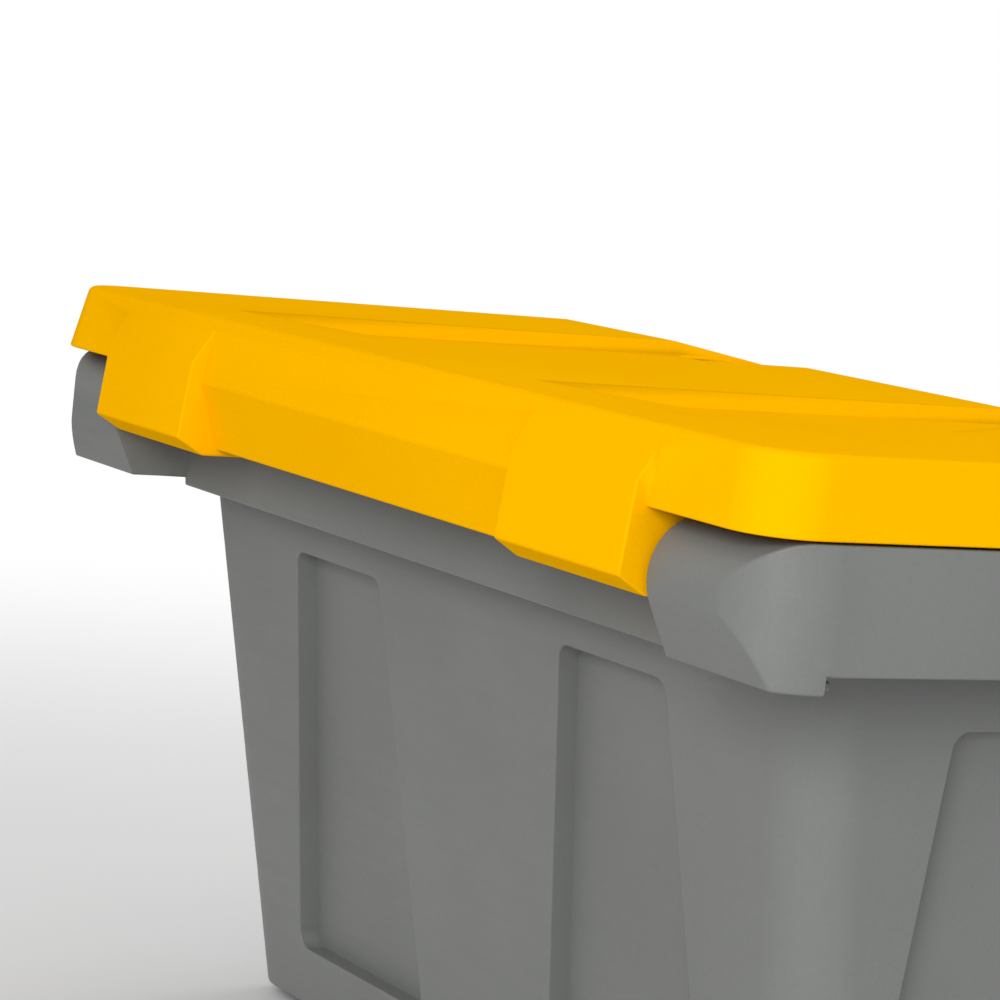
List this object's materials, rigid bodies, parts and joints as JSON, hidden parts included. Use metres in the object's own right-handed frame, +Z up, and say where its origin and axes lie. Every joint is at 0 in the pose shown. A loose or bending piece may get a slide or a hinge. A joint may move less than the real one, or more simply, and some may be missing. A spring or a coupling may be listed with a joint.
{
  "type": "toolbox",
  "caption": "Tapered plastic storage toolbox with a hinged lid on two wide rear knuckles, overhanging collar with end grips, snap latches and a lift-out tray.",
  "frame": {"origin": "on the floor under the middle of the box", "axes": "+X along the long side, +Y towards the hinges, -Y towards the latches, +Z up"},
  "size_m": [0.602, 0.387, 0.3295],
  "materials": {
    "body_plastic": "satin moulded",
    "lid_plastic": "satin moulded",
    "tray_plastic": "fine texture",
    "latch_plastic": "satin moulded",
    "seal_rubber": "matt",
    "foot_rubber": "matt",
    "steel": "zinc plated"
  },
  "bodies": {
    "body": {"body_shell": "body_plastic", "lid_seal": "seal_rubber", "hinge_pin_left": "steel", "hinge_pin_right": "steel", "hinge_clip_left": "steel", "hinge_clip_right": "steel", "latch_pin_left": "steel", "latch_pin_right": "steel", "foot_rear_right": "foot_rubber", "foot_rear_left": "foot_rubber", "foot_front_left": "foot_rubber", "foot_front_right": "foot_rubber"},
    "lid": {"lid_shell": "lid_plastic"},
    "tray": {"tray_shell": "tray_plastic", "tray_handle": "lid_plastic", "tray_handle_screws": "steel", "tray_divider_1": "tray_plastic", "tray_divider_2": "tray_plastic"},
    "latch_left": {"latch_left": "latch_plastic"},
    "latch_right": {"latch_right": "latch_plastic"}
  },
  "joints": [
    {"name": "lid_hinge", "type": "hinge", "parent": "body", "child": "lid", "pos_m": [0, 0.1606, 0.2762], "axis": [-1, 0, 0], "range_deg": [0, 100]},
    {"name": "tray_lift", "type": "slide", "parent": "body", "child": "tray", "axis": [0, 0, 1], "range_m": [0, 0.125]},
    {"name": "latch_left_hinge", "type": "hinge", "parent": "body", "child": "latch_left", "pos_m": [-0.15, -0.19, 0.266], "axis": [1, 0, 0], "range_deg": [0, 115]},
    {"name": "latch_right_hinge", "type": "hinge", "parent": "body", "child": "latch_right", "pos_m": [0.15, -0.19, 0.266], "axis": [1, 0, 0], "range_deg": [0, 115]}
  ],
  "couplings": [
    {"joint": "tray_lift", "follows": "lid_hinge", "m_per_rad": 0.0716}
  ]
}
